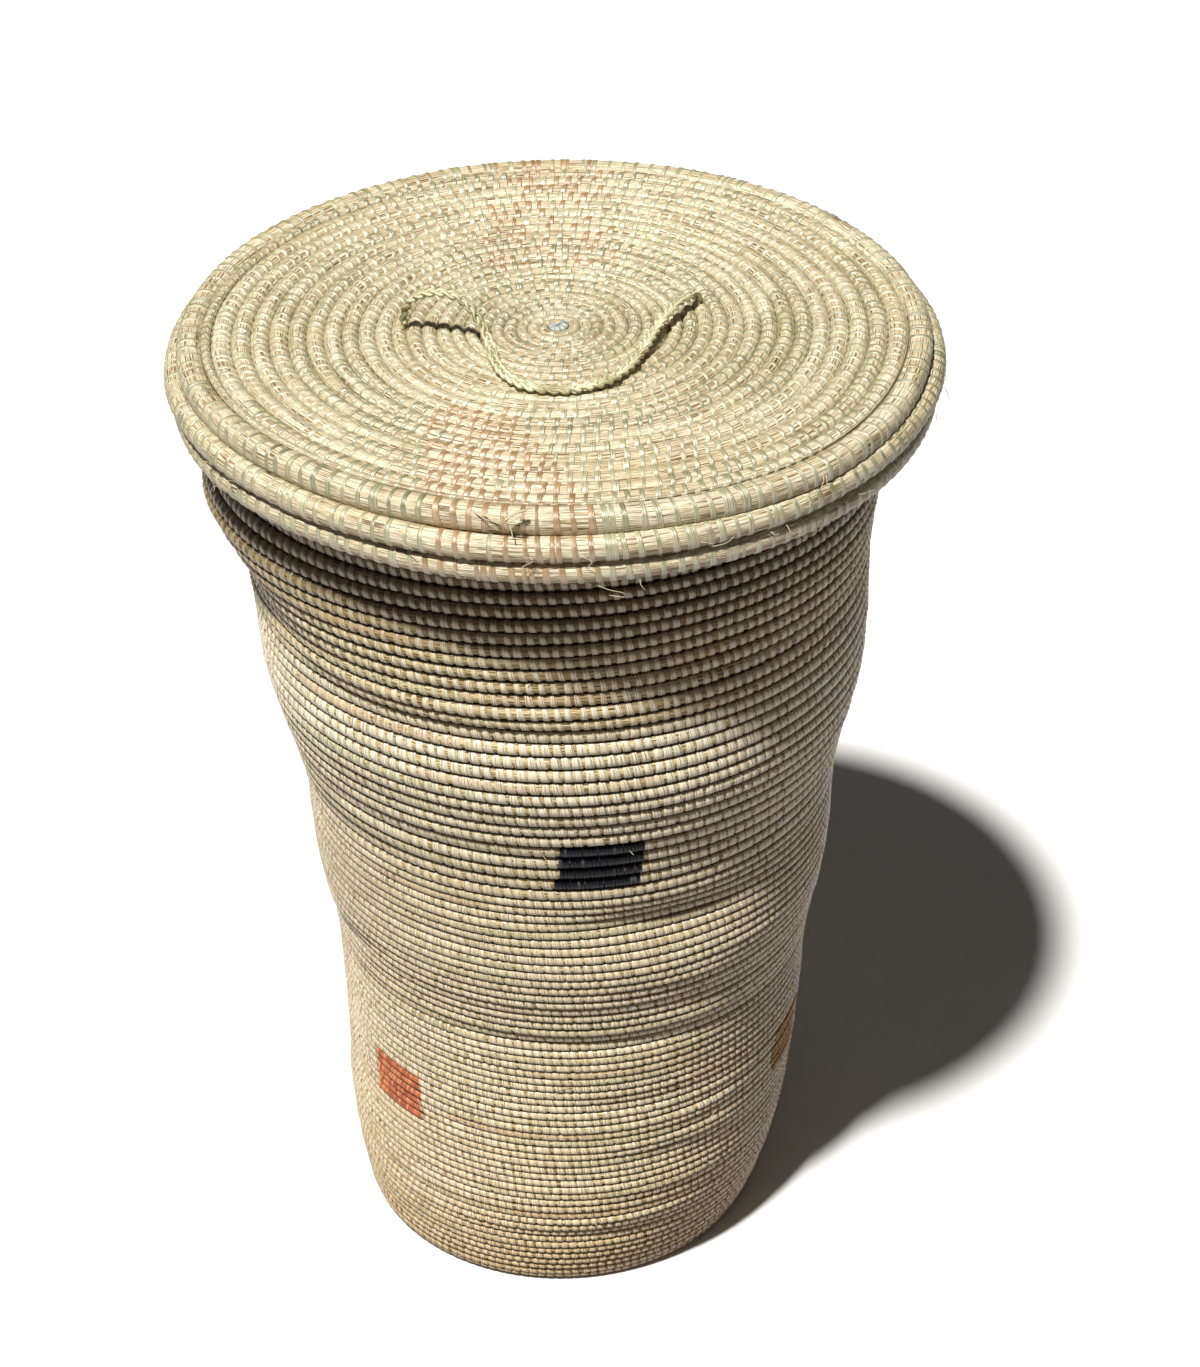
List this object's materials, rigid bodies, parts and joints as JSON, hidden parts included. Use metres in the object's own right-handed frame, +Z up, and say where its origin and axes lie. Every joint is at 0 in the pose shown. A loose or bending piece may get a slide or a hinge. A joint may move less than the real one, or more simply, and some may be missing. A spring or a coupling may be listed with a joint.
{
  "type": "lidded hamper basket",
  "caption": "Tall coiled grass hamper, narrow at the foot and wide at the mouth, with a flat lift-off lid, dyed patches and a rope handle.",
  "frame": {"origin": "under the middle of the lid, on the surface that the foot stands on", "axes": "+Z up through the lid, -Y towards the front patch, +X to the right of it"},
  "size_m": [0.4, 0.4, 0.5874],
  "materials": {
    "grass": "matte grass bundles sewn with pale glossy strip",
    "pale_strip": "satin pale blue-grey strip",
    "rope": "matte plaited grass",
    "navy": "satin dyed strip",
    "terracotta": "satin dyed strip",
    "ochre": "satin dyed strip"
  },
  "bodies": {
    "basket": {"base_start_knot": "pale_strip", "base_disc": "grass", "wall_foot": "grass", "wall_lower": "grass", "wall_waist": "grass", "wall_shoulder": "grass", "wall_top": "grass", "mouth_coil": "grass", "patch_navy_front": "navy", "patch_ochre_right": "ochre", "patch_terracotta_back": "terracotta", "patch_navy_back": "navy", "patch_ochre_back": "ochre", "patch_terracotta_left": "terracotta"},
    "lid": {"lid_start_knot": "pale_strip", "lid_disc": "grass", "lid_edge_coil": "grass", "lid_rim_coil_1": "grass", "lid_rim_coil_2": "grass", "handle_knot_left": "rope", "handle_knot_right": "rope"},
    "handle": {"handle_rope": "rope"}
  },
  "joints": [
    {"name": "lid_lift", "type": "slide", "parent": "basket", "child": "lid", "axis": [0, 0, 1], "range_m": [0, 0.45]},
    {"name": "handle_swing", "type": "hinge", "parent": "lid", "child": "handle", "pos_m": [-0.077, -0.004, 0.56261], "axis": [-0.9907, -0.1359, -0.0104], "range_deg": [0, 90]}
  ]
}
